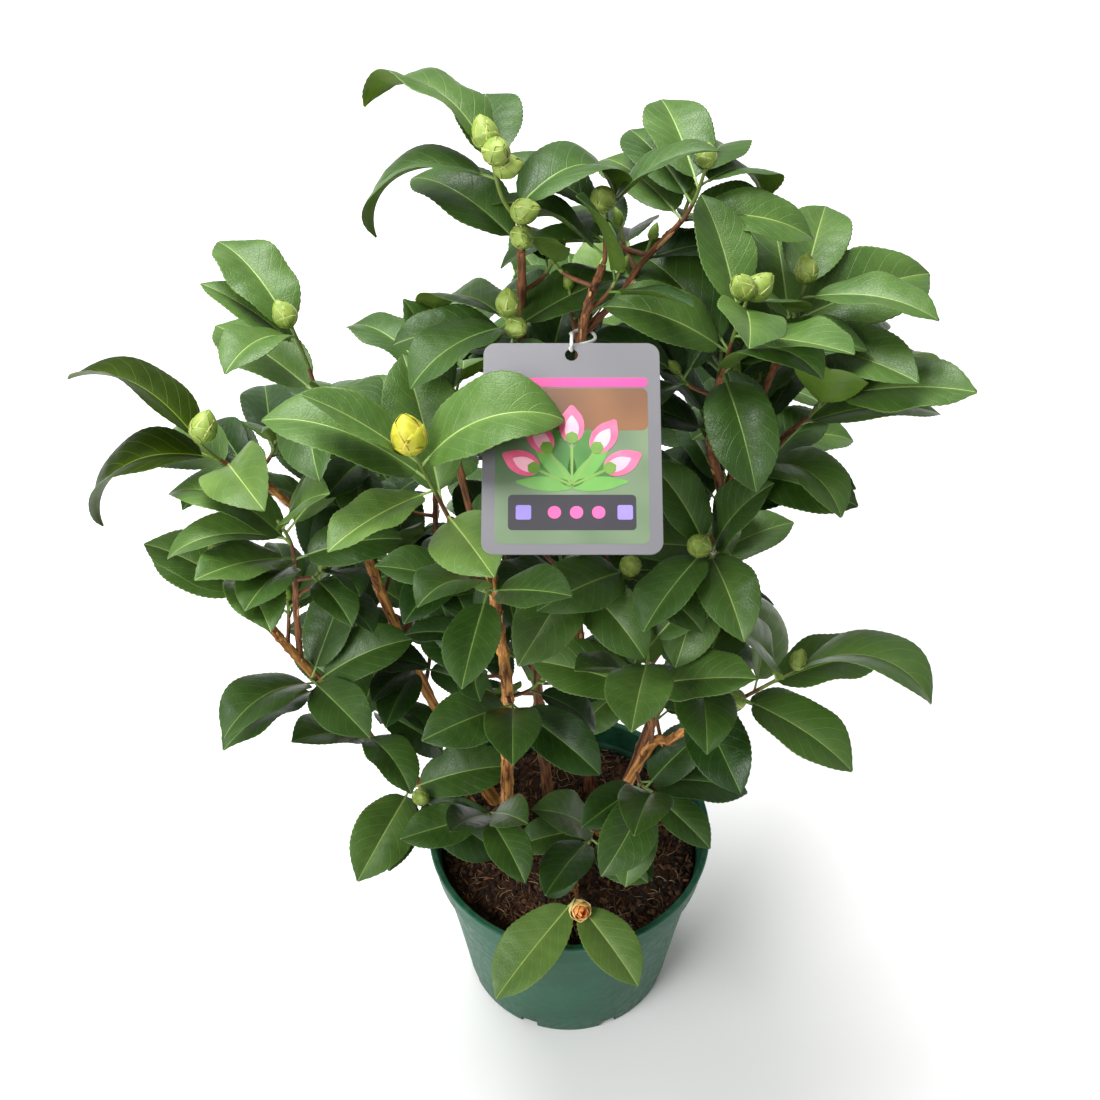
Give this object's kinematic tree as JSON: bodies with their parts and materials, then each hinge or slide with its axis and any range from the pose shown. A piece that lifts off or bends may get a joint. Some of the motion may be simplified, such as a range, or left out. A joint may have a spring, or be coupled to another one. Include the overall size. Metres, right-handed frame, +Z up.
{
  "type": "camellia shrub",
  "caption": "Upright evergreen camellia shrub with glossy oval leaves and flower buds, growing in a round green nursery pot with a hanging label.",
  "frame": {"origin": "centre of the pot's flat underside, on the surface that the pot stands on", "axes": "+Z up along the pot's axis, +X to the shrub's right and +Y to its back, seen from the side that the label faces"},
  "size_m": [0.4808, 0.3507, 0.7192],
  "materials": {
    "pot": "satin, faint mould lines",
    "potting_mix": "dark peat with pale fibres",
    "label": "printed plastic sheet",
    "bark": "rough, flaking bark",
    "young_bark": "smoother brown bark",
    "foliage": "glossy leaves with paler undersides"
  },
  "bodies": {
    "root": {"pot": "pot", "potting_mix": "potting_mix", "hang_tag": "label", "stem_front_left": "bark", "stem_left": "bark", "stem_mid_left": "bark", "stem_centre": "bark", "stem_back": "bark", "stem_right": "bark", "stem_low_right": "bark", "stem_low_front": "bark", "bough_inner_left": "young_bark", "bough_left_upper": "young_bark", "bough_left_top": "young_bark", "bough_top_right": "young_bark", "bough_right_back": "young_bark", "bough_right": "young_bark", "bough_low_right_upper": "young_bark", "bough_back_left": "young_bark", "bough_back": "young_bark", "bough_back_right": "young_bark", "bough_back_low_left": "young_bark", "bough_back_low_right": "young_bark", "leaves_top_left": "foliage", "leaves_top_right": "foliage", "leaves_right_upper": "foliage", "leaves_right_back": "foliage", "leaves_right": "foliage", "leaves_right_fork": "foliage", "leaves_right_middle": "foliage", "leaves_low_right": "foliage", "leaves_low_right_inner": "foliage", "leaves_low_right_upper": "foliage", "leaves_left_top": "foliage", "leaves_far_left": "foliage", "leaves_front": "foliage", "leaves_inner_left": "foliage", "leaves_left_upper": "foliage", "leaves_left_low": "foliage", "leaves_left_stem": "foliage", "leaves_left_low_stem": "foliage", "leaves_left_foot": "foliage", "leaves_front_foot": "foliage", "leaves_front_stem": "foliage", "leaves_front_fork": "foliage", "leaves_centre_top": "foliage", "leaves_centre_back": "foliage", "leaves_inner_front": "foliage", "leaves_inner_right": "foliage", "leaves_low_centre": "foliage", "leaves_low_front_right": "foliage", "leaves_low_front": "foliage", "leaves_inner_low_left": "foliage", "leaves_inner_low_centre": "foliage", "leaves_inner_low_right": "foliage", "leaves_back_left": "foliage", "leaves_back": "foliage", "leaves_back_right": "foliage", "leaves_back_low_left": "foliage", "leaves_back_low_right": "foliage"}
  },
  "joints": []
}
